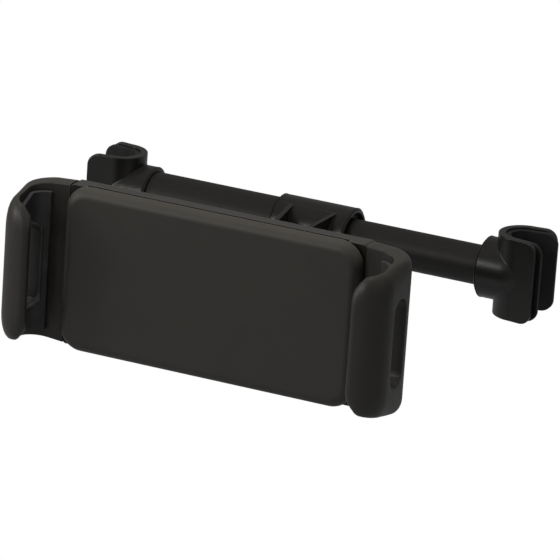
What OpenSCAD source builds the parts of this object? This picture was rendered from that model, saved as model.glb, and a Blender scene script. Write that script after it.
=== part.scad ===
// Headrest tablet mount: a telescoping bar that clips between two headrest posts,
// with a ball joint that carries a spring-loaded two-jaw tablet holder.
// Origin: the left post's axis at the height of the bar. +X runs along the bar to
// the other post, -Y points at the passenger, +Z runs up along the posts.

/* [Posts] */
// Diameter of the headrest posts that the hooks clip on
post_d = 12; // [10:0.5:13]
// Distance between the two posts with the bar fully out
post_span = 187; // [180:1:200]

/* [Bar] */
// Outside diameter of the outer tube
outer_od = 22; // [21.8:0.1:24]
// Wall of the outer tube
outer_wall = 1.9; // [1.7:0.05:2]
// Outside diameter of the inner tube
inner_od = 16.8; // [15:0.1:17]
// Wall of the inner tube
inner_wall = 1.6; // [1.2:0.1:2]
// How far the inner tube slides into the outer tube
slide_travel = 50; // [30:1:52]
// Length of the nylon bush in the mouth of the outer tube
bush_len = 12; // [8:0.5:14]
// Length of the collar of the plug on the inner tube's end
collar_len = 6; // [4:0.5:8]
// Length of the plug's spigot inside the inner tube
spigot_len = 8; // [5:0.5:12]
// Width of the key that stops the inner tube from turning
key_w = 2.8; // [2:0.1:4]
// Height of that key
key_h = 0.8; // [0.5:0.05:0.9]
// Wire of the bar spring
bar_wire = 1.2; // [0.8:0.1:1.4]
// Diameter of the bar spring, across the middle of its wire
bar_coil_d = 13.8; // [12:0.1:14]

/* [Sleeves] */
// Wall of the three moulded sleeves over the outer tube
sleeve_wall = 1.9; // [1.4:0.1:3]
// Chamfer round the mouth of each sleeve
sleeve_chamfer = 0.8; // [0.4:0.1:1.3]
// From the left post's axis to the middle of the bracket
bracket_x = 93; // [85:0.5:96]
// Length of the bracket's sleeve
bracket_len = 34.5; // [28:0.5:40]
// How far the bracket's sleeve reaches past the mouth of the outer tube
bracket_lip = 2.5; // [1:0.5:5]
// From a post's axis to the mouth of the hook's sleeve
hook_reach = 17; // [16:0.5:20]
// Length over which each sleeve falls away into its hook
hook_blend = 9; // [6:0.5:10]
// Length of the hook's spigot inside its tube
hook_spigot = 10; // [6:0.5:11]
// Length of the boss that centres the bar spring
seat_boss_len = 3; // [2:0.5:6]

/* [Hooks] */
// Height of a hook along the post
hook_h = 35.2; // [30:0.2:40]
// Wall of a hook round its liner
hook_wall = 3.1; // [2.5:0.1:3.6]
// Thickness of the rubber liner
liner_t = 2.1; // [1.5:0.1:2.6]
// How far the hook's two lobes reach past the post's axis
lobe_len = 9.6; // [7:0.1:11]
// Angle at which each lobe opens
lobe_flare = 8; // [2:0.5:12]
// Corner radius of the lobes, seen from the side
lobe_corner = 5; // [3:0.5:8]
// How much lower than the hook its liner is, at each rim
liner_step = 0.7; // [0.3:0.1:1.5]
// How far the liner's two lips stand out past the lobes
liner_over = 1.6; // [0.5:0.1:2.5]

/* [Bracket arm] */
// From the bar's axis to the centre of the ball
ball_reach = 70; // [66:0.5:80]
// Diameter of the ball
ball_d = 17; // [16:0.1:18]
// Diameter of the neck behind the ball
neck_d = 10; // [8:0.1:10.2]
// Length of the neck's round part, from the ball's centre
neck_len = 12.5; // [12:0.1:14]
// Length of the cone that blends the neck into the cheeks
neck_cone = 9; // [6:0.5:12]
// Diameter of that cone at its wide end
neck_cone_d = 15; // [12:0.5:16]
// Distance from the arm's middle to each cheek at the bar
cheek_x = 10.8; // [9.5:0.1:12]
// Distance from the arm's middle to each cheek at the ball
cheek_end_x = 4.2; // [3.5:0.1:4.8]
// Thickness of a cheek
cheek_t = 2; // [1.5:0.1:2.6]
// Half height of a cheek at the bar
cheek_h = 12; // [10:0.1:12.4]
// Half height of a cheek at the ball
cheek_end_h = 8; // [6:0.1:8.5]
// Thickness of the web between the cheeks
web_t = 3; // [2:0.1:5]

/* [Ball socket] */
// Thickness of the liner ring and the friction pad round the ball
liner_ring_t = 1.5; // [1.2:0.05:1.8]
// Half width of the liner ring along the socket's axis
liner_ring_half = 4.2; // [3.6:0.1:4.4]
// Diameter of the friction pad
pad_disc_d = 8; // [6:0.1:9]
// Wall of the socket at the ball's equator
socket_wall = 3.2; // [2.8:0.1:4]
// How far the socket's rim lies past the ball's centre
socket_rim = 5.2; // [5:0.1:5.6]
// Width of the slots that let the socket's fingers close on the ball
socket_slot = 2; // [1.2:0.1:3]
// Wall of the lock nut
nut_wall = 3.4; // [2.6:0.1:4.5]
// Length of the lock nut
nut_len = 14.8; // [12:0.2:16]
// Inside diameter of the lock nut's lip
nut_lip_d = 22; // [21.6:0.1:24]
// How far the lock nut reaches past the socket's rim
nut_over = 1.6; // [1.2:0.1:2.4]
// Number of grip flutes round the lock nut
nut_flutes = 12; // [8:1:16]
// Radius of a grip flute
flute_r = 2.6; // [2:0.1:4]
// Depth of a grip flute
flute_depth = 1; // [0.5:0.1:1.6]

/* [Holder] */
// Width of the front panel and the housing
panel_w = 132; // [124:1:150]
// Height of the front panel and the housing
panel_h = 70.4; // [64:0.2:80]
// How far the front panel stands out
panel_depth = 6; // [6:0.5:8]
// Corner radius of the front panel
panel_corner = 10; // [8:0.5:14]
// Radius along the panel's front edge
panel_edge = 5; // [3:0.5:5.5]
// Wall of the panel and the housing
shell_t = 2; // [1.6:0.1:2.4]
// Depth of the rear housing
housing_depth = 11; // [11:0.5:14]
// Radius along the housing's rear edge
housing_edge = 4; // [2:0.5:5]
// Corner radius of the housing, seen from the front
housing_corner = 1.5; // [1:0.5:3]
// How much lower the rear housing is than the front panel, at the top and at the bottom
housing_step = 0.8; // [0.2:0.1:2]
// From the ball's centre to the back of the housing
socket_len = 20; // [19:0.5:24]
// Thickness of the four gussets round the socket
gusset_t = 2.4; // [1.6:0.1:3]
// How far each gusset reaches out past the socket along the housing
gusset_reach = 8; // [4:0.5:12]

/* [Jaws] */
// How much lower than the housing a jaw's base is, at the top and at the bottom
jaw_step = 0.2; // [0.2:0.1:3]
// How far a closed jaw stands out past the housing
jaw_reach = 20; // [18:0.5:26]
// Depth of a jaw from its back to its lip
jaw_depth = 35; // [32:0.5:40]
// How far each jaw slides out
jaw_travel = 40; // [20:1:42]
// Wall of a jaw
jaw_wall = 5; // [3.5:0.1:5.5]
// Radius of the jaw's rear corner, seen from above
jaw_rear_r = 10; // [8:0.5:12]
// Radius of the jaw's front corner, seen from above
jaw_front_r = 11.5; // [10:0.5:14]
// Radius of the hollow's rear corner, seen from above
hollow_r = 8; // [5:0.5:9]
// From the end wall's outside to the middle of the lip's round tip
lip_w = 11.9; // [11.7:0.1:15]
// How much lower the jaw gets along its curl, from its base to its lip
lip_drop = 5.5; // [2:0.5:8]
// Width of the round corner of the lip, seen from the front
lip_corner_w = 7.5; // [4:0.5:10]
// Height of that corner
lip_corner_h = 9; // [4:0.5:12]
// Width of the soft crown along the jaw's outer edge
crown_w = 4.1; // [2:0.1:4.2]
// Height of the crown at the jaw's base
crown_base_h = 1.5; // [1:0.1:4]
// Height of the crown at the front corner
crown_h = 12; // [6:0.5:14]
// Radius along the edges of the jaw's base and hollow
jaw_edge = 0.8; // [0.4:0.1:1.2]
// Length of the cable slot in a jaw's end wall
slot_len = 37.5; // [30:0.5:40]
// How far below the jaw's middle the cable slot lies
slot_drop = 1; // [0:0.1:2]
// Width of the cable slot
slot_w = 11.4; // [8:0.2:13]
// Thickness of a jaw's rubber pad
jaw_pad_t = 2; // [1.5:0.1:2.6]
// Height of a jaw's rubber pad
jaw_pad_h = 60; // [46:0.5:60]
// Thickness of a jaw's sliding tongue
tongue_t = 4; // [3:0.1:4.4]
// How far each tongue stops short of the holder's middle
tongue_short = 8; // [6:0.5:10]
// Radius of the stop that ends a jaw's travel
stop_r = 2.5; // [2:0.1:3]

/* [Jaw springs] */
// Wire of a jaw spring
jaw_wire = 0.7; // [0.5:0.05:0.9]
// Number of turns of a jaw spring
jaw_turns = 20; // [12:1:24]
// Height of each jaw spring above or below the middle of the holder
jaw_spring_z = 14; // [10:0.5:16]
// Diameter of the pegs that hold the jaw springs
peg_d = 3; // [2.4:0.1:3.4]

/* [Screws] */
// Thread diameter of the housing screws
screw_d = 2.5; // [2:0.1:3]
// Head diameter of the housing screws
screw_head_d = 4.6; // [4:0.1:4.8]
// Depth of the screw heads' recesses
screw_head_h = 1.6; // [1.2:0.1:2]
// Radius of the bosses that the screws run through
screw_boss_r = 2.5; // [2.2:0.1:3]
// Distance of the screws from the holder's middle, along the bar
screw_x = 48; // [30:1:52]

/* [Hidden] */
$fn = 64;
eps = 0.02;

shell_colour = [0.13, 0.125, 0.115];
panel_colour = [0.16, 0.155, 0.145];
rubber_colour = [0.09, 0.09, 0.1];
steel_colour = [0.62, 0.62, 0.6];
nylon_colour = [0.7, 0.69, 0.64];
bush_colour = [0.08, 0.08, 0.08];

// Clearances: a fixed seat, a running fit, a sliding guide, a ball shell and a stop
seat_gap = 0.05;
run_gap = 0.08;
guide_gap = 0.3;
ball_gap = 0.15;
stop_gap = 0.2;

outer_r = outer_od / 2;
outer_bore_r = outer_r - outer_wall;
inner_r = inner_od / 2;
inner_bore_r = inner_r - inner_wall;
sleeve_r = outer_r + sleeve_wall;
liner_in_r = post_d / 2;
liner_out_r = liner_in_r + liner_t;
hook_in_r = liner_out_r + 2 * seat_gap;
hook_r = hook_in_r + hook_wall;
tube_start = hook_r + 2 * guide_gap;
blend_end = hook_reach - 11;
blend_drop = max(0.3, sleeve_r - hook_r + stop_gap);
blend_r = (hook_blend * hook_blend + blend_drop * blend_drop) / (2 * blend_drop);

tube_end = bracket_x + bracket_len / 2 - bracket_lip;
bush_start = tube_end - bush_len;
collar_end = bush_start - stop_gap;
collar_start = collar_end - collar_len;
inner_end = post_span - tube_start;
spring_seat = tube_start + hook_spigot;
seat_boss_r = bar_coil_d / 2 - bar_wire / 2 - guide_gap;
bar_turns = 11;

ball_r = ball_d / 2;
ball_y = -ball_reach;
ring_in_r = ball_r + ball_gap;
ring_out_r = ring_in_r + liner_ring_t;
cup_r = ring_out_r + ball_gap;
boss_r = cup_r + socket_wall;
rim_y = ball_y + socket_rim;
neck_end_y = ball_y + neck_len;
cheek_end_y = neck_end_y + 3.5;
nut_r = boss_r + run_gap + nut_wall;
nut_rear_y = rim_y + nut_over;
nut_front_y = nut_rear_y - nut_len;

housing_back_y = ball_y - socket_len;
housing_front_y = housing_back_y - housing_depth;
panel_front_y = housing_front_y - panel_depth;
housing_in_y = housing_back_y - shell_t - 0.2;
panel_in_y = panel_front_y + shell_t;
side_x = panel_w / 2;
half_h = panel_h / 2;
back_h = half_h - housing_step;

screw_z = back_h - shell_t - screw_boss_r - 0.4;
tongue_h = 2 * (screw_z - screw_boss_r - 2 * guide_gap);
tongue_back_y = housing_in_y - 2.3;
tongue_front_y = tongue_back_y - tongue_t;
rail_z = 20;
rail_t = 2;

jaw_h = back_h - jaw_step;
jaw_start = side_x + guide_gap;
jaw_end = side_x + jaw_reach;
jaw_back_y = housing_back_y - 2;
jaw_front_y = jaw_back_y - jaw_depth;
jaw_in_x = jaw_end - jaw_wall;
lip_in_y = jaw_front_y + jaw_wall;
lip_tip_x = jaw_end - lip_w;
lip_end_x = lip_tip_x - jaw_wall / 2;
slot_y = (housing_front_y + lip_in_y) / 2 + 3;
pad_end_x = lip_tip_x - 0.4;

stop_x = side_x - 8;
peg_x = tongue_short + 4;
anchor_x = side_x - 8;
jaw_coil_r = peg_d / 2 + jaw_wire / 2 + seat_gap;
peg_h = jaw_wire + 0.5;
spring_y = tongue_front_y - guide_gap - jaw_coil_r - jaw_wire / 2;

// A rectangle from (x0, y0) to (x1, y1) whose corners are cut to true arcs,
// with the radii given anticlockwise from the lower left one
module rounded(x0, x1, y0, y1, r) {
    corners = [[x0, y0, 0, 0], [x1, y0, 1, 0], [x1, y1, 1, 1], [x0, y1, 0, 1]];
    difference() {
        translate([x0, y0]) square([x1 - x0, y1 - y0]);
        for (i = [0:3])
            if (r[i] > 0)
                translate([corners[i][0], corners[i][1]])
                    mirror([corners[i][2], 0])
                        mirror([0, corners[i][3]])
                            difference() {
                                translate([-1, -1]) square(r[i] + 1);
                                translate([r[i], r[i]]) circle(r[i]);
                            }
    }
}

// A rod along X from x0 to x1
module rod_x(x0, x1, r) {
    translate([x0, 0, 0]) rotate([0, 90, 0]) cylinder(r = r, h = x1 - x0);
}

// A rod along Y from y0 to y1
module rod_y(y0, y1, r) {
    translate([0, y0, 0]) rotate([-90, 0, 0]) cylinder(r = r, h = y1 - y0);
}

// Turns a flat shape drawn in X and Z into a plate from y0 to y1
module plate_y(y0, y1) {
    translate([0, y1, 0]) rotate([90, 0, 0]) linear_extrude(y1 - y0) children();
}

// Turns a flat shape drawn in Y and Z into a plate from x0 to x1
module plate_x(x0, x1) {
    translate([x0, 0, 0]) rotate([90, 0, 90]) linear_extrude(x1 - x0) children();
}

// A closed skin over a row of rings with the same number of points each, every ring
// anticlockwise when it is seen from the row's far end
module skin(rings) {
    rows = len(rings);
    count = len(rings[0]);
    sides = [for (i = [0:rows - 2], k = [0:count - 1])
        let (a = i * count + k, b = i * count + (k + 1) % count)
        each [[a, a + count, b + count], [a, b + count, b]]];
    start = [for (k = [0:count - 1]) k];
    end = [for (k = [count - 1:-1:0]) (rows - 1) * count + k];
    polyhedron([for (ring = rings) each ring], concat([start], sides, [end]));
}

// A vector turned square to a direction and made one unit long
function squared(v, direction) = let (u = v - (v * direction) * direction) u / norm(u);

// A round wire along a list of points, without twist
module wire(path, r, sides) {
    last = len(path) - 1;
    ahead = [for (i = [0:last])
        let (step = path[min(i + 1, last)] - path[max(i - 1, 0)])
        step / norm(step)];
    across = [for (i = 0, u = squared([0, 1, 0], ahead[0]); i <= last;
        i = i + 1, u = squared(u, ahead[min(i, last)])) u];
    skin([for (i = [0:last])
        let (u = across[i], v = cross(ahead[i], u))
        [for (k = [0:sides - 1])
            path[i] + r * (cos(360 * k / sides) * u + sin(360 * k / sides) * v)]]);
}

// The outline of a hook or its liner from above, open towards +X
module hook_outline(r, reach) {
    spread = r + reach * tan(lobe_flare);
    circle(r);
    polygon([[0, -r], [reach, -spread], [reach, spread], [0, r]]);
}

// A hook that opens towards -X, with a sleeve over and a spigot inside its tube
module hook(tube_r, bore_r) {
    difference() {
        union() {
            intersection() {
                mirror([1, 0, 0])
                    linear_extrude(hook_h, center = true) hook_outline(hook_r, lobe_len);
                plate_y(-hook_r - 5, hook_r + 5)
                    rounded(-lobe_len, hook_r + 1, -hook_h / 2, hook_h / 2,
                        [lobe_corner, 0, 0, lobe_corner]);
            }
            rod_x(blend_end, hook_reach - sleeve_chamfer, sleeve_r);
            // The sleeve falls away into the hook in a long arc
            translate([blend_end + eps, 0, 0]) rotate([0, -90, 0])
                rotate_extrude()
                    intersection() {
                        square([sleeve_r, hook_blend]);
                        translate([sleeve_r - blend_r, 0]) circle(blend_r, $fn = 360);
                    }
            translate([hook_reach - sleeve_chamfer - eps, 0, 0]) rotate([0, 90, 0])
                cylinder(r1 = sleeve_r, r2 = sleeve_r - sleeve_chamfer, h = sleeve_chamfer + eps);
        }
        mirror([1, 0, 0])
            linear_extrude(hook_h + 2, center = true) hook_outline(hook_in_r, lobe_len + 2);
        difference() {
            rod_x(tube_start - seat_gap, hook_reach + 1, tube_r + seat_gap);
            rod_x(tube_start - 1, hook_reach + 2, bore_r - seat_gap);
        }
    }
    rod_x(hook_reach - 1, tube_start + hook_spigot, bore_r - seat_gap);
    rod_x(tube_start + hook_spigot - eps, tube_start + hook_spigot + seat_boss_len,
        min(seat_boss_r, bore_r - 1));
}

module hook_liner() {
    liner_h = hook_h - 2 * liner_step;
    lip = lobe_len + liner_over;
    intersection() {
        mirror([1, 0, 0])
            linear_extrude(liner_h, center = true)
                difference() {
                    hook_outline(liner_out_r, lip);
                    hook_outline(liner_in_r, lip + 1);
                }
        plate_y(-hook_r - 5, hook_r + 5)
            rounded(-lip, hook_r, -liner_h / 2, liner_h / 2, [lobe_corner, 0, 0, lobe_corner]);
    }
}

module left_hook() {
    color(shell_colour) hook(outer_r, outer_bore_r);
}

module left_hook_liner() {
    color(rubber_colour) hook_liner();
}

module right_hook() {
    color(shell_colour) translate([post_span, 0, 0]) mirror([1, 0, 0]) hook(inner_r, inner_bore_r);
}

module right_hook_liner() {
    color(rubber_colour) translate([post_span, 0, 0]) mirror([1, 0, 0]) hook_liner();
}

module outer_tube() {
    color(shell_colour)
        difference() {
            rod_x(tube_start, tube_end, outer_r);
            rod_x(tube_start - 1, tube_end + 1, outer_bore_r);
            translate([tube_start - 1, -key_w / 2 - run_gap, -outer_bore_r - key_h - guide_gap / 2])
                cube([tube_end - tube_start + 2, key_w + 2 * run_gap, key_h + 2]);
        }
}

// The key under a round piece in the outer tube's bore
module bore_key(x0, x1, r) {
    translate([x0, -key_w / 2, -outer_bore_r - key_h + 0.1])
        cube([x1 - x0, key_w, key_h + outer_bore_r - r + 1]);
}

module tube_bush() {
    color(bush_colour)
        difference() {
            union() {
                rod_x(bush_start, tube_end, outer_bore_r - seat_gap);
                bore_key(bush_start, tube_end, outer_bore_r - seat_gap);
            }
            rod_x(bush_start - 1, tube_end + 1, inner_r + run_gap);
        }
}

module tube_plug() {
    color(nylon_colour) {
        rod_x(collar_start, collar_end, outer_bore_r - run_gap);
        bore_key(collar_start, collar_end, outer_bore_r - run_gap);
        rod_x(collar_end - eps, collar_end + spigot_len, inner_bore_r - seat_gap);
        rod_x(collar_start - seat_boss_len, collar_start + eps, seat_boss_r);
    }
}

module inner_tube() {
    color(shell_colour)
        difference() {
            rod_x(collar_end, inner_end, inner_r);
            rod_x(collar_end - 1, inner_end + 1, inner_bore_r);
        }
}

// A pressed coil spring with one closed turn at each end
module bar_spring() {
    steps = 14;
    closed = bar_wire + stop_gap;
    first = spring_seat + bar_wire / 2 + seat_gap;
    last = collar_start - bar_wire / 2 - seat_gap;
    pitch = (last - first - 2 * closed) / bar_turns;
    path = [for (i = [0:(bar_turns + 2) * steps])
        let (turn = i / steps, open = min(max(turn - 1, 0), bar_turns))
        [first + closed * (turn - open) + pitch * open,
            bar_coil_d / 2 * cos(360 * turn), bar_coil_d / 2 * sin(360 * turn)]];
    color(steel_colour) wire(path, bar_wire / 2, 6);
}

// The bracket's sleeve, its two converging cheeks with a web between, and the ball
module ball_bracket() {
    arm_turn = atan((cheek_x - cheek_end_x) / -cheek_end_y);
    cheek_run = norm([cheek_x - cheek_end_x, cheek_end_y]);
    half = bracket_len / 2;
    color(shell_colour)
        translate([bracket_x, 0, 0])
            difference() {
                union() {
                    rod_x(-half + sleeve_chamfer, half - sleeve_chamfer, sleeve_r);
                    for (side = [0, 1])
                        mirror([side, 0, 0])
                            translate([half - sleeve_chamfer - eps, 0, 0]) rotate([0, 90, 0])
                                cylinder(r1 = sleeve_r, r2 = sleeve_r - sleeve_chamfer,
                                    h = sleeve_chamfer + eps);
                    for (side = [0, 1])
                        mirror([side, 0, 0])
                            translate([cheek_x, 0, 0]) rotate([0, 0, -arm_turn])
                                plate_x(-cheek_t / 2, cheek_t / 2)
                                    polygon([[0, -cheek_h], [0, cheek_h], [-cheek_run, cheek_end_h],
                                        [-cheek_run, -cheek_end_h]]);
                    translate([0, 0, -web_t / 2])
                        linear_extrude(web_t)
                            polygon([[-cheek_x, 0], [cheek_x, 0], [cheek_end_x, cheek_end_y],
                                [-cheek_end_x, cheek_end_y]]);
                    translate([0, neck_end_y - eps, 0]) rotate([-90, 0, 0])
                        cylinder(r1 = neck_d / 2, r2 = neck_cone_d / 2, h = neck_cone);
                    rod_y(ball_y, neck_end_y, neck_d / 2);
                    translate([0, ball_y, 0]) rotate([90, 0, 0]) sphere(ball_r);
                }
                rod_x(-half - 1, half + 1, outer_r + seat_gap);
            }
}

// Part of a hollow ball, centred on the ball joint
module ball_shell(r_in, r_out) {
    translate([bracket_x, ball_y, 0])
        rotate([90, 0, 0])
            difference() {
                sphere(r_out);
                sphere(r_in);
            }
}

module socket_liner_ring() {
    color(nylon_colour)
        intersection() {
            ball_shell(ring_in_r, ring_out_r);
            translate([bracket_x, ball_y, 0])
                rod_y(-liner_ring_half, liner_ring_half, ring_out_r + 2);
        }
}

module socket_friction_pad() {
    color(rubber_colour)
        intersection() {
            ball_shell(ring_in_r, ring_out_r);
            translate([bracket_x, ball_y, 0])
                rod_y(-ring_out_r - 2, 0, pad_disc_d / 2);
        }
}

// The housing's outline with a rounded rear edge, seen from the front
module housing_body() {
    corner = housing_corner;
    intersection() {
        plate_y(housing_front_y, housing_back_y)
            rounded(-side_x, side_x, -back_h, back_h, [corner, corner, corner, corner]);
        plate_x(-side_x - 1, side_x + 1)
            rounded(housing_front_y, housing_back_y, -back_h, back_h, [0, housing_edge, housing_edge, 0]);
    }
}

// The socket that the housing carries: a cup with sprung fingers on a stout boss
module socket_boss() {
    difference() {
        union() {
            rod_y(housing_back_y - 1, rim_y, boss_r);
            for (a = [0:90:270])
                rotate([0, a + 45, 0])
                    plate_x(-gusset_t / 2, gusset_t / 2)
                        polygon([[housing_back_y - 1, 0], [housing_back_y - 1, boss_r + gusset_reach],
                            [housing_back_y, boss_r + gusset_reach], [nut_front_y - 1, boss_r + 0.5],
                            [nut_front_y - 1, 0]]);
        }
        translate([0, ball_y, 0]) rotate([90, 0, 0]) sphere(cup_r);
        translate([0, ball_y, 0])
            rod_y(socket_rim - 1, socket_rim + 1, sqrt(cup_r * cup_r - socket_rim * socket_rim));
        for (a = [0, 90])
            rotate([0, a, 0])
                translate([-socket_slot / 2, ball_y - 4, -boss_r - 1])
                    cube([socket_slot, socket_rim + 5, 2 * boss_r + 2]);
    }
}

module rear_housing() {
    cavity_w = side_x - shell_t - 1;
    cavity_h = back_h - shell_t - 0.8;
    cavity_r = 7;
    guide_z = tongue_h / 2 + guide_gap;
    color(shell_colour)
        translate([bracket_x, 0, 0]) {
            difference() {
                housing_body();
                plate_y(housing_front_y - 1, housing_in_y)
                    rounded(-cavity_w, cavity_w, -cavity_h, cavity_h, [cavity_r, cavity_r, cavity_r, cavity_r]);
                translate([-side_x - 1, tongue_front_y - guide_gap, -guide_z])
                    cube([2 * side_x + 2, tongue_t + 2 * guide_gap, 2 * guide_z]);
                for (x = [-screw_x, screw_x], z = [-screw_z, screw_z])
                    translate([x, 0, z]) {
                        rod_y(housing_front_y - 1, housing_back_y + 1, screw_d / 2 + 0.2);
                        rod_y(housing_back_y - screw_head_h, housing_back_y + 1, screw_head_d / 2 + 0.2);
                    }
            }
            socket_boss();
            // Rails behind the tongues, guides above and below them, and the travel stops
            for (z = [-1, 1]) {
                translate([-cavity_w, tongue_back_y + guide_gap, z * rail_z - rail_t / 2])
                    cube([2 * cavity_w, housing_in_y - tongue_back_y - guide_gap + eps, rail_t]);
                for (x = [-screw_x, screw_x])
                    translate([x, 0, z * screw_z])
                        difference() {
                            rod_y(housing_front_y + 0.2, housing_in_y + eps, screw_boss_r);
                            rod_y(housing_front_y - 1, housing_back_y, screw_d / 2 + 0.2);
                        }
            }
            for (x = [-stop_x, stop_x])
                translate([x, 0, 0])
                    rod_y(tongue_front_y - guide_gap, housing_in_y + eps, stop_r);
        }
}

// A slab with rounded corners whose front edges roll over in true quarter rounds
module soft_slab() {
    w = side_x;
    h = half_h;
    c = panel_corner;
    e = panel_edge;
    intersection() {
        plate_y(panel_front_y, housing_front_y)
            rounded(-w, w, -h, h, [c, c, c, c]);
        plate_x(-w - 1, w + 1)
            rounded(panel_front_y, housing_front_y, -h, h, [e, 0, 0, e]);
        linear_extrude(2 * h + 2, center = true)
            rounded(-w, w, panel_front_y, housing_front_y, [e, e, 0, 0]);
    }
}

module front_panel() {
    inset = shell_t + 1.2 + housing_step;
    hollow_corner = 6;
    color(panel_colour)
        translate([bracket_x, 0, 0]) {
            difference() {
                soft_slab();
                plate_y(panel_in_y, housing_front_y + 1)
                    rounded(-side_x + inset, side_x - inset, -half_h + inset, half_h - inset,
                        [hollow_corner, hollow_corner, hollow_corner, hollow_corner]);
            }
            for (x = [-screw_x, screw_x], z = [-screw_z, screw_z])
                translate([x, 0, z])
                    difference() {
                        rod_y(panel_in_y - eps, housing_front_y, screw_boss_r);
                        rod_y(panel_in_y + 0.6, housing_front_y + 1, screw_d / 2 + eps);
                    }
            // Rails in front of the tongues, and the fixed ends of the two jaw springs
            for (z = [-1, 1])
                translate([-side_x + inset + 1, panel_in_y - eps, z * rail_z - rail_t / 2])
                    cube([panel_w - 2 * inset - 2, tongue_front_y - guide_gap - panel_in_y, rail_t]);
            for (s = [-1, 1])
                translate([s * anchor_x, 0, -s * jaw_spring_z])
                    rod_y(panel_in_y - eps, tongue_front_y - guide_gap, peg_d / 2);
        }
}

module housing_screws() {
    tip_y = panel_in_y + 1;
    color(steel_colour)
        for (x = [-screw_x, screw_x], z = [-screw_z, screw_z])
            translate([bracket_x + x, 0, z]) {
                rod_y(tip_y, housing_back_y - 1, screw_d / 2);
                rod_y(housing_back_y - screw_head_h, housing_back_y, screw_head_d / 2);
            }
}

module lock_nut() {
    chamfer = 1;
    color(shell_colour)
        translate([bracket_x, 0, 0])
            difference() {
                union() {
                    rod_y(nut_front_y, nut_rear_y - chamfer, nut_r);
                    translate([0, nut_rear_y - chamfer - eps, 0]) rotate([-90, 0, 0])
                        cylinder(r1 = nut_r, r2 = nut_r - chamfer, h = chamfer + eps);
                }
                rod_y(nut_front_y - 1, rim_y + stop_gap, boss_r + run_gap);
                rod_y(nut_front_y, nut_rear_y + 1, nut_lip_d / 2);
                for (i = [0:nut_flutes - 1])
                    rotate([0, i * 360 / nut_flutes, 0])
                        translate([nut_r + flute_r - flute_depth, 0, 0])
                            rod_y(nut_front_y - 1, nut_rear_y + 1, flute_r);
            }
}

// The space inside a jaw from above, drawn back from its walls by the inset
module jaw_hollow(inset) {
    rounded(jaw_start - 9, jaw_in_x - inset, lip_in_y + inset, housing_front_y - inset,
        [0, jaw_front_r - jaw_wall - inset, hollow_r - inset, 0]);
}

// One section of a jaw's wall, from its outer point to its inner one on the plan: a tall
// bar with a soft crown on the outside and a small round on the inside, top and bottom
function wall_section(outer, inner, top, width, height) =
    let (t = norm(inner - outer), across = (inner - outer) / t, edge = min(jaw_edge, t / 8),
        upper = concat(
            [for (a = [0:15:90]) [width * (1 - cos(a)), top - height * (1 - sin(a))]],
            [for (a = [90:-30:0]) [t - edge * (1 - cos(a)), top - edge * (1 - sin(a))]]),
        lower = [for (k = [len(upper) - 1:-1:0]) [upper[k][0], -upper[k][1]]])
    [for (p = concat(upper, lower)) [outer[0] + across[0] * p[0], outer[1] + across[1] * p[0], p[1]]];

// Lengths of the curl's outer line: to the rear corner, round it, along the end wall and
// round the front corner
curl_base = jaw_end - jaw_rear_r - jaw_start;
curl_rear = curl_base + PI / 2 * jaw_rear_r;
curl_end = curl_rear + jaw_depth - jaw_rear_r - jaw_front_r;
curl_front = curl_end + PI / 2 * jaw_front_r;

// Half the jaw's height at a place along the curl and a distance past the front corner
function curl_top(run) = jaw_h - lip_drop * pow(run / curl_front, 1.25);
function lip_top(x) =
    let (u = max(0, 1 - (x - lip_end_x) / lip_corner_w))
    lip_corner_h * (1 - sqrt(1 - u * u));
function crown(run) = lookup(run, [[curl_base, crown_base_h], [curl_rear, crown_h * 0.55],
    [curl_end, crown_h * 0.8], [curl_end + (curl_front - curl_end) * 0.4, crown_h],
    [curl_front, crown_h * 0.75]]);

// The jaw's curled wall: base, rear corner, end wall, front corner and the lip's round tip
module curled_wall() {
    tip_r = jaw_wall / 2;
    base = [wall_section([jaw_start, jaw_back_y], [jaw_start, housing_front_y], jaw_h, crown_w, crown_base_h)];
    rear = [for (a = [0:9:90])
        let (run = curl_base + (curl_rear - curl_base) * a / 90)
        wall_section(
            [jaw_end - jaw_rear_r * (1 - sin(a)), jaw_back_y - jaw_rear_r * (1 - cos(a))],
            [jaw_in_x - hollow_r * (1 - sin(a)), housing_front_y - hollow_r * (1 - cos(a))],
            curl_top(run), crown_w, crown(run))];
    end = [for (s = [1 / 3, 2 / 3])
        let (run = curl_rear + (curl_end - curl_rear) * s)
        wall_section(
            [jaw_end, jaw_back_y - jaw_rear_r - (run - curl_rear)],
            [jaw_in_x, housing_front_y - hollow_r
                - (housing_front_y - hollow_r - jaw_front_y - jaw_front_r) * s],
            curl_top(run), crown_w, crown(run))];
    front = [for (a = [0:9:90])
        let (run = curl_end + (curl_front - curl_end) * a / 90, out = [cos(a), -sin(a)],
            middle = [jaw_end - jaw_front_r, jaw_front_y + jaw_front_r],
            outer = middle + jaw_front_r * out)
        wall_section(outer, middle + (jaw_front_r - jaw_wall) * out,
            curl_top(run) - lip_top(outer[0]), crown_w, crown(run))];
    tip = [for (a = [0:15:75])
        let (x = lip_tip_x - tip_r * sin(a), side = tip_r * cos(a))
        wall_section([x, lip_in_y - tip_r - side], [x, lip_in_y - tip_r + side],
            curl_top(curl_front) - lip_top(x), crown_w * cos(a), crown(curl_front) * cos(a))];
    skin(concat(base, rear, end, front, tip));
}

module cable_slot(x0, x1, middle_z) {
    reach = (slot_len - slot_w) / 2;
    translate([0, 0, middle_z])
        plate_x(x0, x1) {
            translate([slot_y, 0]) square([slot_w, 2 * reach], center = true);
            for (z = [-reach, reach])
                translate([slot_y, z]) circle(slot_w / 2);
        }
}

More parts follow.
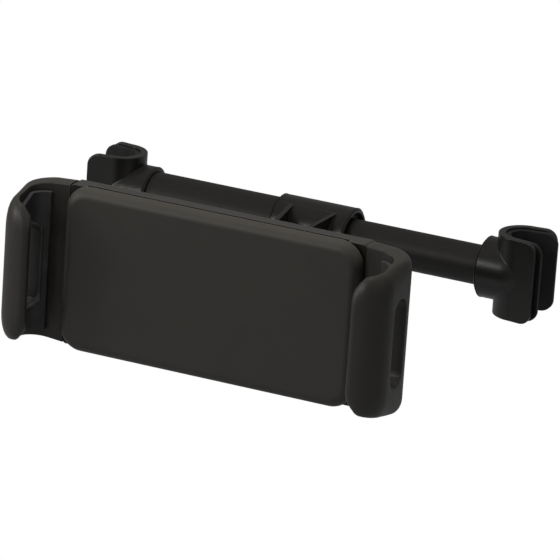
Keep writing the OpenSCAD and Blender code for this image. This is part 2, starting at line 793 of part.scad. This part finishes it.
// A closed jaw on the right: the curled wall and the tongue that slides in the holder
module jaw(slot_z) {
    slot_x0 = stop_x - jaw_travel - stop_r - stop_gap;
    slot_x1 = stop_x + stop_r + stop_gap;
    slot_half = stop_r + stop_gap;
    slot_r = 2;
    difference() {
        curled_wall();
        cable_slot(jaw_in_x - 3, jaw_end + 1, slot_z);
    }
    difference() {
        translate([tongue_short, tongue_front_y, -tongue_h / 2])
            cube([jaw_start - tongue_short + 2, tongue_t, tongue_h]);
        plate_y(tongue_front_y - 1, tongue_back_y + 1)
            rounded(slot_x0, slot_x1, -slot_half, slot_half, [slot_r, slot_r, slot_r, slot_r]);
    }
    translate([peg_x, 0, jaw_spring_z])
        rod_y(spring_y - peg_h, tongue_front_y + 1, peg_d / 2);
}

module jaw_pad(slot_z) {
    edge = 1;
    end_top = curl_top(curl_end) - 1;
    lip_reach = curl_top(curl_front) - lip_top(pad_end_x) - 1.5;
    difference() {
        intersection() {
            linear_extrude(jaw_pad_h, center = true)
                difference() {
                    jaw_hollow(2 * seat_gap);
                    jaw_hollow(jaw_pad_t);
                    translate([jaw_start - 10, jaw_front_y])
                        square([pad_end_x - jaw_start + 10, jaw_depth]);
                }
            plate_x(jaw_start - 5, jaw_end + 1)
                rounded(jaw_front_y, jaw_back_y, -jaw_pad_h / 2, jaw_pad_h / 2, [edge, edge, edge, edge]);
            plate_x(jaw_start - 5, jaw_end + 1)
                polygon([[jaw_front_y, -lip_reach], [jaw_front_y, lip_reach],
                    [lip_in_y + jaw_pad_t, lip_reach], [slot_y, end_top], [jaw_back_y, end_top],
                    [jaw_back_y, -end_top], [slot_y, -end_top], [lip_in_y + jaw_pad_t, -lip_reach]]);
        }
        cable_slot(jaw_in_x - 5, jaw_end + 1, slot_z);
    }
}

// An extension spring: a loop on the panel's peg, the coil, and a loop on the tongue's peg
module jaw_spring() {
    steps = 8;
    lead = 2;
    r = jaw_coil_r;
    first = -anchor_x + r + lead;
    last = peg_x - r - lead;
    function loop(x, from, to) = [for (i = [0:10])
        let (a = from + (to - from) * i / 10)
        [x + r * cos(a), 0, r * sin(a)]];
    function on_coil(x, a) = [x, r * sin(a), r * cos(a)];
    body = [for (i = [0:jaw_turns * steps])
        let (s = i / steps, slow = min(s, jaw_turns - s, 0.5) * 2, ease = slow * slow / 4)
        on_coil(first + (last - first) * s / jaw_turns,
            360 * (s < 0.5 ? ease : s > jaw_turns - 0.5 ? jaw_turns - ease : s - 0.25 + 0.5 * (s / jaw_turns)))];
    translate([0, spring_y, jaw_spring_z])
        wire(concat(loop(-anchor_x, 370, 90), body, loop(peg_x, 90, -190)), jaw_wire / 2, 5);
}

// Places a right-hand piece of the holder, or the same piece turned round to the left
module right_side() {
    translate([bracket_x, 0, 0]) children();
}

module left_side() {
    translate([bracket_x, 0, 0]) mirror([1, 0, 0]) mirror([0, 0, 1]) children();
}

module right_jaw() {
    color(shell_colour) right_side() jaw(-slot_drop);
}

module right_jaw_pad() {
    color(rubber_colour) right_side() jaw_pad(-slot_drop);
}

module right_jaw_spring() {
    color(steel_colour) right_side() jaw_spring();
}

module left_jaw() {
    color(shell_colour) left_side() jaw(slot_drop);
}

module left_jaw_pad() {
    color(rubber_colour) left_side() jaw_pad(slot_drop);
}

module left_jaw_spring() {
    color(steel_colour) left_side() jaw_spring();
}

outer_tube();
left_hook();
left_hook_liner();
tube_bush();
bar_spring();
ball_bracket();
inner_tube();
tube_plug();
right_hook();
right_hook_liner();
socket_liner_ring();
socket_friction_pad();
rear_housing();
front_panel();
housing_screws();
lock_nut();
left_jaw();
left_jaw_pad();
left_jaw_spring();
right_jaw();
right_jaw_pad();
right_jaw_spring();
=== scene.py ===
# A headrest tablet mount: a telescoping bar with a rubber-lined hook at each end, a ball
# joint on a short arm, and a holder whose two sprung jaws grip the ends of a tablet.
from math import cos, radians, sin

import bmesh
import bpy
from mathutils import Matrix, Vector
from mathutils.bvhtree import BVHTree


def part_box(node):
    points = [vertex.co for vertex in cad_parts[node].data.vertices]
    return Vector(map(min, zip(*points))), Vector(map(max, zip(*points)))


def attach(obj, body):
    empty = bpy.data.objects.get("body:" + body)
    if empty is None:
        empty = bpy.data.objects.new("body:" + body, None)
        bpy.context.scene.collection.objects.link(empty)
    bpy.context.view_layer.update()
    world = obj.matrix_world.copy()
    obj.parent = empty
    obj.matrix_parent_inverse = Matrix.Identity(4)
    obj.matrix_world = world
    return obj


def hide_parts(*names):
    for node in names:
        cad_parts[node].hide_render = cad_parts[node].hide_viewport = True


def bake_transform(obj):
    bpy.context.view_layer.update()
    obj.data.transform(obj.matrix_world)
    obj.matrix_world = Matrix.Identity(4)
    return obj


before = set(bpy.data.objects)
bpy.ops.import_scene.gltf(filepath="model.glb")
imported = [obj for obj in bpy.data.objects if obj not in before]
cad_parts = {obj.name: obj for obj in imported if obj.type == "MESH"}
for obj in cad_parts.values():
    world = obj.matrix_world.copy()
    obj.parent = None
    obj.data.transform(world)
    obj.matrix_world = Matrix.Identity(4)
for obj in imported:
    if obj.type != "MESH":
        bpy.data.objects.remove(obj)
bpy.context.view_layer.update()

scene = bpy.context.scene
scene.view_settings.view_transform = "Standard"
mm = 0.001


# The camera stands a little above the holder and to its right, far off with a long lens,
# and is rolled a few degrees. Its aim is given from the place on the bar's axis that
# carries the bracket, in the picture's own right and up directions.
bracket_x = 93 * mm
bar_middle = Vector((bracket_x, 0, 0))
turn = radians(23.92)
lift = radians(18.64)
roll = radians(3.94)
camera_distance = 2254 * mm
aim_right = -15.35 * mm
aim_up = -20.63 * mm
sensor_width = 36
sight_length = 20
picture_px = 560
metres_per_px = 0.42 * mm

towards_camera = Vector((sin(turn) * cos(lift), -cos(turn) * cos(lift), sin(lift)))
level_right = Vector((cos(turn), sin(turn), 0))
level_up = towards_camera.cross(level_right)
picture_right = level_right * cos(roll) + level_up * sin(roll)
picture_up = level_up * cos(roll) - level_right * sin(roll)
aim = bar_middle + picture_right * aim_right + picture_up * aim_up
camera_data = bpy.data.cameras.new("camera")
camera = bpy.data.objects.new("camera", camera_data)
scene.collection.objects.link(camera)
camera_data.sensor_width = sensor_width
camera_data.lens = sensor_width * camera_distance / metres_per_px / picture_px
camera_data.clip_end = sight_length
camera.matrix_world = Matrix.Translation(aim + towards_camera * camera_distance) @ Matrix(
    (picture_right, picture_up, towards_camera)).transposed().to_4x4()
scene.camera = camera


# The studio: a white floor well below the mount, white all round it where the camera or a
# gloss looks, and soft lamps above, in front, at both sides and behind.
floor_drop = 130 * mm
floor_reach = 4.0
floor_grey = 0.24
floor_gloss = 0.1
floor_roughness = 0.9
backdrop_white = 1.0
room_light = 0.045
room_gloss = 0.15
holder_forward = 60 * mm
holder_middle = bar_middle + Vector((0, -holder_forward, 0))

bm = bmesh.new()
bmesh.ops.create_grid(bm, x_segments=1, y_segments=1, size=floor_reach)
bmesh.ops.translate(bm, vec=bar_middle + Vector((0, 0, -floor_drop)), verts=bm.verts)
floor_mesh = bpy.data.meshes.new("floor")
bm.to_mesh(floor_mesh)
bm.free()
floor = bpy.data.objects.new("floor", floor_mesh)
scene.collection.objects.link(floor)


class Sock:
    """One socket of a material's nodes. Arithmetic on it adds Math nodes."""

    def __init__(self, tree, socket):
        self.tree = tree
        self.socket = socket

    def node(self, kind, settings=None, out=0, **values):
        """Adds a node, sets it up, feeds its sockets and gives one of its outputs."""
        made = self.tree.nodes.new("ShaderNode" + kind)
        for name, value in (settings or {}).items():
            setattr(made, name, value)
        for name, value in values.items():
            numbered = name[0] == "i" and name[1:].isdigit()
            slot = made.inputs[int(name[1:]) if numbered else name]
            if isinstance(value, Sock):
                self.tree.links.new(value.socket, slot)
            else:
                slot.default_value = value
        return Sock(self.tree, made.outputs[out])

    def maths(self, operation, first, second=0.0):
        return self.node("Math", {"operation": operation}, i0=first, i1=second)

    def __add__(self, other):
        return self.maths("ADD", self, other)

    __radd__ = __add__

    def __mul__(self, other):
        return self.maths("MULTIPLY", self, other)

    __rmul__ = __mul__

    def __sub__(self, other):
        return self.maths("SUBTRACT", self, other)

    def __rsub__(self, other):
        return self.maths("SUBTRACT", other, self)

    def above(self, low, high):
        """0 where this is under low, 1 where it is over high, and smooth between."""
        return self.node("MapRange", {"interpolation_type": "SMOOTHSTEP"},
                         i0=self, i1=low, i2=high, i3=0.0, i4=1.0)

    def between(self, first, second):
        """One colour where this is 0, another where it is 1, and a mix between."""
        return self.node("Mix", {"data_type": "RGBA"}, out=2, i0=self, i6=first, i7=second)


def shade(colour, share=1.0):
    """A colour made darker or lighter by a share, as a colour socket takes it."""
    return (*[c * share for c in colour], 1)


def new_material(name):
    """A material with only a Principled shader, a socket to build from, and its output."""
    material = bpy.data.materials.new(name)
    material.use_nodes = True
    tree = material.node_tree
    tree.nodes.clear()
    output = tree.nodes.new("ShaderNodeOutputMaterial")
    shader = tree.nodes.new("ShaderNodeBsdfPrincipled")
    tree.links.new(shader.outputs[0], output.inputs[0])
    start = Sock(tree, shader.outputs[0])
    return material, shader, start, output


def feed(shader, name, value):
    """Links or sets one socket of a shader."""
    if isinstance(value, Sock):
        value.tree.links.new(value.socket, shader.inputs[name])
    else:
        shader.inputs[name].default_value = value


floor_paint, shader, start, output = new_material("floor_paint")
feed(shader, "Base Color", shade((floor_grey, floor_grey, floor_grey)))
feed(shader, "Roughness", floor_roughness)
seen = start.node("LightPath", out="Is Camera Ray")
glossed = start.node("LightPath", out="Is Glossy Ray")
white = start.node("Emission", Color=(1, 1, 1, 1), Strength=backdrop_white)
mixed = start.node("MixShader", i0=seen + glossed * floor_gloss, i1=start, i2=white)
under = start.node("NewGeometry", out="Backfacing")
clear = start.node("BsdfTransparent")
mixed = start.node("MixShader", i0=seen * under, i1=mixed, i2=clear)
floor_paint.node_tree.links.new(mixed.socket, output.inputs[0])
floor_mesh.materials.append(floor_paint)

world = bpy.data.worlds.new("studio")
scene.world = world
world.use_nodes = True
sky = world.node_tree
sky.nodes.clear()
sky_out = sky.nodes.new("ShaderNodeOutputWorld")
dim = sky.nodes.new("ShaderNodeBackground")
dim.inputs["Strength"].default_value = room_light
bright = sky.nodes.new("ShaderNodeBackground")
bright.inputs["Color"].default_value = (1, 1, 1, 1)
bright.inputs["Strength"].default_value = backdrop_white
room = Sock(sky, dim.outputs[0])
seen = room.node("LightPath", out="Is Camera Ray")
glossed = room.node("LightPath", out="Is Glossy Ray")
through = room.node("LightPath", out="Is Transmission Ray")
either = room.node("MixShader", i0=seen + through + glossed * room_gloss,
                   i1=room, i2=Sock(sky, bright.outputs[0]))
sky.links.new(either.socket, sky_out.inputs[0])


def lamp(name, place, size, watts, mirrored=True):
    """A square soft lamp that looks at the middle of the holder."""
    data = bpy.data.lights.new(name, "AREA")
    data.shape = "SQUARE"
    data.size = size
    data.energy = watts
    made = bpy.data.objects.new(name, data)
    scene.collection.objects.link(made)
    made.visible_glossy = mirrored
    made.location = place
    made.rotation_euler = (holder_middle - made.location).to_track_quat("-Z", "Y").to_euler()


lamp("top_lamp", (0.0, -0.15, 1.0), 0.7, 16.5, mirrored=False)
lamp("front_lamp", (-0.4, -1.05, 0.48), 0.3, 2.0)
lamp("left_lamp", (-0.75, -0.55, 0.25), 0.35, 2.0)
lamp("right_lamp", (1.1, -0.45, 0.45), 0.5, 0.25)
lamp("back_lamp", (0.5, 1.3, 0.35), 0.6, 5, mirrored=False)


# The bar: an outer and an inner tube of drawn black plastic. The lines of drawing run along
# both tubes, and their surface is smoother than that of the moulded pieces.
drawn_black = (0.0084, 0.0078, 0.0066)
# How wide the edges' painted highlight and polish reach, how strongly and how light the highlight is
# painted, and how dark painted shade makes a colour.
polish_highlight_width = 0.7 * mm
edge_highlight_share = 0.7
edge_highlight_gain = 2.4
painted_shade_share = 0.25


def plastic(name, colour, roughness, grain, grain_size=0.4 * mm, along=None, gloss=0.4, painted_shade=None):
    """Black plastic: a slow mottle, a fine grain, and edges that handling has polished, which are also
    lightened as a painted highlight.
    At the depths along Y that its shade mask picks, it is darkened with painted shade, as in a joint's
    groove."""
    material, shader, start, _ = new_material(name)
    place = start.node("TexCoord", out="Object")
    if along:
        fine_place = start.node("Mapping", Vector=place, Scale=along)
    else:
        fine_place = place
    mottle = start.node("TexNoise", Vector=place, Scale=70.0, Detail=3.0)
    fine = start.node("TexNoise", Vector=fine_place, Scale=1 / grain_size, Detail=2.5, Roughness=0.6)
    facing = start.node("NewGeometry", out="Normal")
    rounded = start.node("Bevel", {"samples": 6}, Radius=polish_highlight_width)
    straight = start.node("VectorMath", {"operation": "DOT_PRODUCT"}, out="Value", i0=facing, i1=rounded)
    # Edges that the Bevel node finds get a painted highlight in the colour and a real polish in the
    # roughness.
    polish_and_highlight = (1 - straight).above(0.004, 0.06)
    tone = mottle.between(shade(colour, 0.86), shade(colour, 1.14))
    tone = (polish_and_highlight * edge_highlight_share).between(tone, shade(colour, edge_highlight_gain))
    # Painted shade: the depths along Y that the mask picks are darkened, as shade in a groove.
    if painted_shade:
        depth = start.node("SeparateXYZ", out="Y", Vector=place)
        tone = painted_shade(depth).between(tone, shade(colour, painted_shade_share))
    feed(shader, "Base Color", tone)
    feed(shader, "Roughness", roughness + (fine - 0.5) * 0.16 + (mottle - 0.5) * 0.08 - polish_and_highlight * 0.08)
    feed(shader, "Normal", start.node("Bump", Strength=grain, Distance=0.03 * mm, Height=fine))
    feed(shader, "Specular IOR Level", gloss)
    return material


def dress(material, *nodes):
    """Gives CAD pieces their finish, where their own shape is the one that shows."""
    for node in nodes:
        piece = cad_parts[node]
        piece.data.materials.clear()
        piece.data.materials.append(material)


tube_black = plastic("drawn_tube_black", drawn_black, 0.5, 0.5, grain_size=0.5 * mm, along=(0.03, 1, 1))
dress(tube_black, "outer_tube", "inner_tube")


# Inside the bar: the steel spring that pushes the hooks apart, a natural nylon plug and a
# black nylon bush that guide the inner tube. They show only where a sleeve or a tube ends.
spring_grey = (0.46, 0.45, 0.43)
nylon_white = (0.62, 0.60, 0.53)
nylon_black = (0.0075, 0.0075, 0.0075)
same_place = 0.002 * mm
moulding_crease = 50
fine_crease = 40


def drawn_steel(name, colour, roughness):
    """Spring wire: bright steel with fine scratches and darker, rougher patches."""
    material, shader, start, _ = new_material(name)
    place = start.node("TexCoord", out="Object")
    scratches = start.node("TexNoise", Vector=place, Scale=3500.0, Detail=3.0)
    patches = start.node("TexNoise", Vector=place, Scale=240.0, Detail=2.0)
    dull = patches.above(0.45, 0.7)
    feed(shader, "Base Color", dull.between(shade(colour), shade(colour, 0.6)))
    feed(shader, "Metallic", 1.0)
    feed(shader, "Roughness", roughness + (scratches - 0.5) * 0.2 + dull * 0.12)
    feed(shader, "Normal", start.node("Bump", Strength=0.3, Distance=0.01 * mm, Height=scratches))
    return material


def nylon(name, colour):
    """Nylon: slightly uneven in tone, with a soft moulded sheen."""
    material, shader, start, _ = new_material(name)
    place = start.node("TexCoord", out="Object")
    cloud = start.node("TexNoise", Vector=place, Scale=160.0, Detail=4.0)
    fine = start.node("TexNoise", Vector=place, Scale=2200.0, Detail=2.0)
    feed(shader, "Base Color", cloud.between(shade(colour, 0.9), shade(colour)))
    feed(shader, "Roughness", 0.45 + (fine - 0.5) * 0.15)
    feed(shader, "Normal", start.node("Bump", Strength=0.2, Distance=0.02 * mm, Height=fine))
    return material


def merged(node, angle_limit=None):
    """A bmesh of a CAD piece with its doubled corners made one."""
    bm = bmesh.new()
    bm.from_mesh(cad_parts[node].data)
    bmesh.ops.remove_doubles(bm, verts=bm.verts, dist=same_place)
    if angle_limit:
        bmesh.ops.dissolve_limit(bm, angle_limit=angle_limit, verts=bm.verts, edges=bm.edges)
    return bm


def as_piece(name, bm, crease):
    """Makes a smoothly shaded object of a bmesh, with creases where its faces turn sharply."""
    for face in bm.faces:
        face.smooth = True
    mesh = bpy.data.meshes.new(name)
    bm.to_mesh(mesh)
    bm.free()
    if "custom_normal" in mesh.attributes:
        mesh.attributes.remove(mesh.attributes["custom_normal"])
    mesh.set_sharp_from_angle(angle=radians(crease))
    piece = bpy.data.objects.new(name, mesh)
    scene.collection.objects.link(piece)
    return piece


def wound(node):
    """A steel coil spring: a smoothly shaded copy of its CAD piece, shown in that piece's place."""
    piece = as_piece(node + "_wound", merged(node), moulding_crease)
    piece.data.materials.append(spring_steel)
    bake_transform(piece)
    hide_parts(node)


spring_steel = drawn_steel("spring_steel", spring_grey, 0.28)
natural_nylon = nylon("natural_nylon", nylon_white)
wound("bar_spring")
dress(natural_nylon, "tube_plug")
dress(nylon("black_nylon", nylon_black), "tube_bush")


# The two hooks, moulded in black plastic: a C that opens away from the bar, and a sleeve
# over the end of its tube. Their rims are softly rounded, as they come from the mould.
shell_black = (0.0074, 0.0069, 0.0058)
hook_round = 0.36 * mm
flat_angle = 0.8
sharp_angle = 35
round_steps = 3
thrown_off = 0.9
moulding_weight = 80


def bevelled(bm, edges, radius, steps, clamp=True):
    """Rounds some edges of a bmesh. A clamped rounding stops where it meets another."""
    bmesh.ops.bevel(bm, geom=edges, affect="EDGES", offset_type="OFFSET", offset=radius,
                    segments=steps, profile=0.5, material=-1, clamp_overlap=clamp)


def evened(piece, weight):
    """Shades a piece by its larger faces, so that its flats look flat beside the roundings."""
    even = piece.modifiers.new("even_shading", "WEIGHTED_NORMAL")
    even.keep_sharp = True
    even.weight = weight


def softened(node, radius, only=None):
    """A copy of a CAD piece with its flats made whole and its sharp edges rounded. Corners
    that the rounding throws off the piece's own surface are drawn back to it."""
    bm = merged(node, radians(flat_angle))
    sharp = [e for e in bm.edges if len(e.link_faces) == 2 and e.calc_face_angle(0) > radians(sharp_angle)
             and (only is None or all(only(v.co) for v in e.verts))]
    skin = BVHTree.FromBMesh(bm)
    bevelled(bm, sharp, radius, round_steps, clamp=False)
    for vert in bm.verts:
        near, _, _, away = skin.find_nearest(vert.co)
        if away > radius * thrown_off:
            vert.co = near
    bmesh.ops.triangulate(bm, faces=[f for f in bm.faces if len(f.verts) > 4])
    piece = as_piece(node + "_moulding", bm, moulding_crease)
    evened(piece, moulding_weight)
    return piece


def fit(piece, body, material, node):
    """Puts a finished piece in the place of its CAD piece."""
    piece.data.materials.clear()
    piece.data.materials.append(material)
    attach(piece, body)
    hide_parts(node)


def moulded(node, radius, body, material, only=None):
    """Puts a softened copy of one CAD piece in its place."""
    fit(softened(node, radius, only), body, material, node)


shell_plastic = plastic("moulded_black", shell_black, 0.32, 0.4, gloss=0.5)
for side, body in (("left", "bar"), ("right", "slider")):
    moulded(side + "_hook", hook_round, body, shell_plastic)


# The rubber liners of the hooks: soft black rubber that grips the post and stands a little
# proud of the C's inside. It is duller and bluer than the plastic round it.
liner_black = (0.0095, 0.0095, 0.0096)
liner_round = 0.4 * mm


def rubber(name, colour, roughness):
    """Black rubber: dull, with a close matt grain and a faint bloom on the high spots."""
    material, shader, start, _ = new_material(name)
    place = start.node("TexCoord", out="Object")
    bloom = start.node("TexNoise", Vector=place, Scale=120.0, Detail=4.0)
    grain = start.node("TexNoise", Vector=place, Scale=3000.0, Detail=3.0)
    feed(shader, "Base Color", bloom.above(0.35, 0.75).between(shade(colour, 0.85), shade(colour, 1.35)))
    feed(shader, "Roughness", roughness + (grain - 0.5) * 0.2)
    feed(shader, "Normal", start.node("Bump", Strength=0.6, Distance=0.03 * mm, Height=grain))
    feed(shader, "Specular IOR Level", 0.35)
    return material


liner_rubber = rubber("liner_rubber", liner_black, 0.62)
for side, body in (("left", "bar"), ("right", "slider")):
    moulded(side + "_hook_liner", liner_round, body, liner_rubber)


# The bracket: a sleeve clamped on the outer tube, two cheeks that run together towards a
# neck, a web between them, and the ball, all one moulding.
bracket_round = 0.36 * mm
moulded("ball_bracket", bracket_round, "bar", shell_plastic)


# The ball joint's own pieces: a nylon ring and a rubber pad that bear on the ball, and the
# fluted nut that draws the socket's fingers together.
nut_round = 0.4 * mm
pad_black = (0.0270, 0.0270, 0.0275)
pad_rubber = rubber("pad_rubber", pad_black, 0.55)
dress(natural_nylon, "socket_liner_ring")
dress(pad_rubber, "socket_friction_pad")
moulded("lock_nut", nut_round, "lock_nut", shell_plastic)


# The rear housing: the shell behind the panel with the socket on its boss, four gussets,
# and the holes of four screws. A bead along the top and the bottom of its front edge stands
# as high as the panel and closes the parting groove, which lies in shadow.
housing_round = 0.4 * mm
housing_black = (0.0310, 0.0290, 0.0262)
bead_root = 33 * mm
bead_reach = 59.5 * mm
bead_taper = 1.5 * mm
bead_depth = 2.4 * mm
bead_slope = 1.2 * mm
bead_round = 0.2 * mm
shadow_start = 0.02 * mm
shadow_edge = 0.1 * mm
panel_low, panel_high = (Vector(c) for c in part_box("front_panel"))
front_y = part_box("rear_housing")[0][1]


def block(bm, low, high):
    """A box between two corners, added to a bmesh."""
    made = bmesh.ops.create_cube(bm, size=1)["verts"]
    bmesh.ops.scale(bm, vec=high - low, verts=made)
    bmesh.ops.translate(bm, vec=(high + low) / 2, verts=made)


def edges_where(bm, test):
    """The edges of a bmesh whose two ends both pass a test on their place."""
    return [e for e in bm.edges if all(test(v.co) for v in e.verts)]


bm = bmesh.new()
for top, bottom in ((panel_high.z, bead_root), (-bead_root, panel_low.z)):
    block(bm, Vector((bracket_x - bead_reach, front_y, bottom)),
          Vector((bracket_x + bead_reach, front_y + bead_depth, top)))
crest = [v for v in bm.verts if abs(v.co.z) > bead_root + mm]
for side in (-1, 1):
    end = [v for v in crest if (v.co.x - bracket_x) * side > 0]
    bmesh.ops.translate(bm, vec=(-side * bead_taper, 0, 0), verts=end)
bmesh.ops.translate(bm, vec=(0, -bead_slope, 0), verts=[v for v in crest if v.co.y > front_y + mm])
bevelled(bm, edges_where(bm, lambda co: abs(co.z) > bead_root + mm), bead_round, round_steps)
for face in bm.faces:
    face.smooth = True
housing = softened("rear_housing", housing_round)
bm.from_mesh(housing.data)
bm.to_mesh(housing.data)
bm.free()
housing.data.set_sharp_from_angle(angle=radians(moulding_crease))
shadow_end = front_y + shadow_start + shadow_edge
# The housing's front faces, the bead's in the groove among them, are darkened with painted shade.
housing_plastic = plastic("housing_black", housing_black, 0.5, 0.5, gloss=0.35,
                          painted_shade=lambda y: 1 - y.above(front_y + shadow_start, shadow_end))
fit(housing, "holder", housing_plastic, "rear_housing")


# The front panel: a moulded shell with round corners whose front edge rolls over, in the
# same plastic with a soft-touch finish. It narrows behind the roll, which leaves a groove
# against the housing. Inside it has four screw bosses, two rails and two pegs.
panel_depth = 6 * mm
panel_back = panel_low.y + panel_depth
panel_corner = 10 * mm
panel_roll = 4.5 * mm
panel_wall = 4.0 * mm
panel_floor = 2 * mm
groove_width = 1.4 * mm
groove_drop = 1.0 * mm
corner_steps = 16
roll_steps = 10
panel_weight = 50
screw_out = 48 * mm
screw_up = 29.5 * mm
panel_boss = 2.5 * mm
rail_end = 6 * mm
rail_up = 20 * mm
rail_half = 1 * mm
rail_drop = 2.5 * mm
peg_out = 58 * mm
peg_up = 14 * mm
peg_radius = 1.5 * mm
overlap = 0.1 * mm
close = 0.01 * mm
pin_sides = 32
panel_black = (0.0380, 0.0350, 0.0303)
screw_places = [Vector((bracket_x + sx * screw_out, 0, sz * screw_up)) for sx in (-1, 1) for sz in (-1, 1)]


def pin(bm, middle, radius, y0, y1):
    """A round bar along Y, added to a bmesh."""
    turned = Matrix.Rotation(radians(90), 4, "X")
    made = bmesh.ops.create_cone(bm, cap_ends=True, segments=pin_sides, radius1=radius,
                                 radius2=radius, depth=abs(y1 - y0), matrix=turned)["verts"]
    bmesh.ops.translate(bm, vec=(middle.x, (y0 + y1) / 2, middle.z), verts=made)
    return made


def pushed(bm, face, inset, depth):
    """Insets a face, then extrudes what is left of it along Y by a depth."""
    bmesh.ops.inset_region(bm, faces=[face], thickness=inset, use_even_offset=True)
    moved = bmesh.ops.extrude_discrete_faces(bm, faces=[face])["faces"][0]
    bmesh.ops.translate(bm, vec=(0, depth, 0), verts=moved.verts)
    return moved


bm = bmesh.new()
groove_front = panel_back - groove_width
block(bm, panel_low, Vector((panel_high.x, groove_front, panel_high.z)))
upright = [e for e in bm.edges if abs((e.verts[0].co - e.verts[1].co).y) > mm]
bevelled(bm, upright, panel_corner, corner_steps)
bevelled(bm, edges_where(bm, lambda co: co.y < panel_low.y + close), panel_roll, roll_steps)
back = max((f for f in bm.faces if f.normal.y > 0.99), key=lambda f: f.calc_area())
neck = pushed(bm, back, groove_drop, groove_width)
pushed(bm, neck, panel_wall - groove_drop, panel_floor - panel_depth)
inner_y = panel_low.y + panel_floor - overlap
for middle in screw_places:
    pin(bm, middle, panel_boss, inner_y, panel_back - overlap)
for side in (-1, 1):
    block(bm, Vector((panel_low.x + rail_end, inner_y, side * rail_up - rail_half)),
          Vector((panel_high.x - rail_end, panel_back - rail_drop, side * rail_up + rail_half)))
    peg = Vector((bracket_x + side * peg_out, 0, -side * peg_up))
    pin(bm, peg, peg_radius, inner_y, panel_high.y)
# Behind the front of the groove, the panel is darkened with painted shade.
soft_touch = plastic("soft_touch_black", panel_black, 0.5, 0.5, grain_size=0.3 * mm, gloss=0.35,
                     painted_shade=lambda y: y.above(groove_front, groove_front + shadow_edge))
panel = as_piece("front_panel_shell", bm, fine_crease)
evened(panel, panel_weight)
fit(panel, "holder", soft_touch, "front_panel")


# Four blackened steel screws hold the housing on the panel. Each has a flat head with an
# eased rim and a cross recess, sunk in the housing's back.
screw_grey = (0.10, 0.10, 0.10)
screw_low, screw_high = (Vector(c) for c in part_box("housing_screws"))
screw_head = 2.3 * mm
screw_head_depth = 1.6 * mm
screw_thread = 1.25 * mm
recess_long = 1.35 * mm
recess_wide = 0.32 * mm
recess_depth = 0.9 * mm
rim_round = 0.3 * mm
thread_overlap = 0.05 * mm


def carved(piece, cutter):
    """Cuts one closed object out of another and throws the cutter away."""
    cut = piece.modifiers.new("cut", "BOOLEAN")
    cut.operation = "DIFFERENCE"
    cut.solver = "EXACT"
    cut.object = cutter
    done = bpy.data.meshes.new_from_object(piece.evaluated_get(bpy.context.evaluated_depsgraph_get()))
    piece.modifiers.remove(cut)
    piece.data = done
    bpy.data.objects.remove(cutter)


bm = bmesh.new()
recess = bmesh.new()
for middle in screw_places:
    pin(bm, middle, screw_thread, screw_low.y, screw_high.y - screw_head_depth + thread_overlap)
    head = pin(bm, middle, screw_head, screw_high.y - screw_head_depth, screw_high.y)
    rim = [e for e in bm.edges if all(v in head and v.co.y > screw_high.y - close for v in e.verts)]
    bevelled(bm, rim, rim_round, round_steps)
    for long, wide in ((recess_long, recess_wide), (recess_wide, recess_long)):
        block(recess, middle + Vector((-long, screw_high.y - recess_depth, -wide)),
              middle + Vector((long, screw_high.y + mm, wide)))
recess_mesh = bpy.data.meshes.new("recess")
recess.to_mesh(recess_mesh)
recess.free()
recess_piece = bpy.data.objects.new("recess", recess_mesh)
scene.collection.objects.link(recess_piece)
screws = as_piece("panel_screws", bm, fine_crease)
carved(screws, recess_piece)
screw_steel = drawn_steel("blackened_screw_steel", screw_grey, 0.35)
fit(screws, "holder", screw_steel, "housing_screws")


# The two jaws: moulded plastic that curls forward round the tablet's end, thick along its
# outer edge and thin at the lip, with a slot for the charging lead. A tongue on each slides
# in the housing.
jaw_round = 0.45 * mm
slot_zone = 21 * mm
end_zone = 6 * mm
jaw_black = (0.0260, 0.0240, 0.0207)
jaw_plastic = plastic("jaw_black", jaw_black, 0.44, 0.55)


def beside_slot(end_wall):
    """A test for the places round the cable slot in a jaw's end wall."""
    return lambda co: abs(co.x - end_wall) < end_zone and abs(co.z) < slot_zone


for side, corner in (("left", 0), ("right", 1)):
    jaw = side + "_jaw"
    end_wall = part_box(jaw)[corner][0]
    moulded(jaw, jaw_round, jaw, jaw_plastic, beside_slot(end_wall))


# The rubber pads inside the jaws' curls, and the springs that draw the jaws together.
pad_round = 0.35 * mm
for side in ("left", "right"):
    moulded(side + "_jaw_pad", pad_round, side + "_jaw", pad_rubber)
wound("left_jaw_spring")
wound("right_jaw_spring")
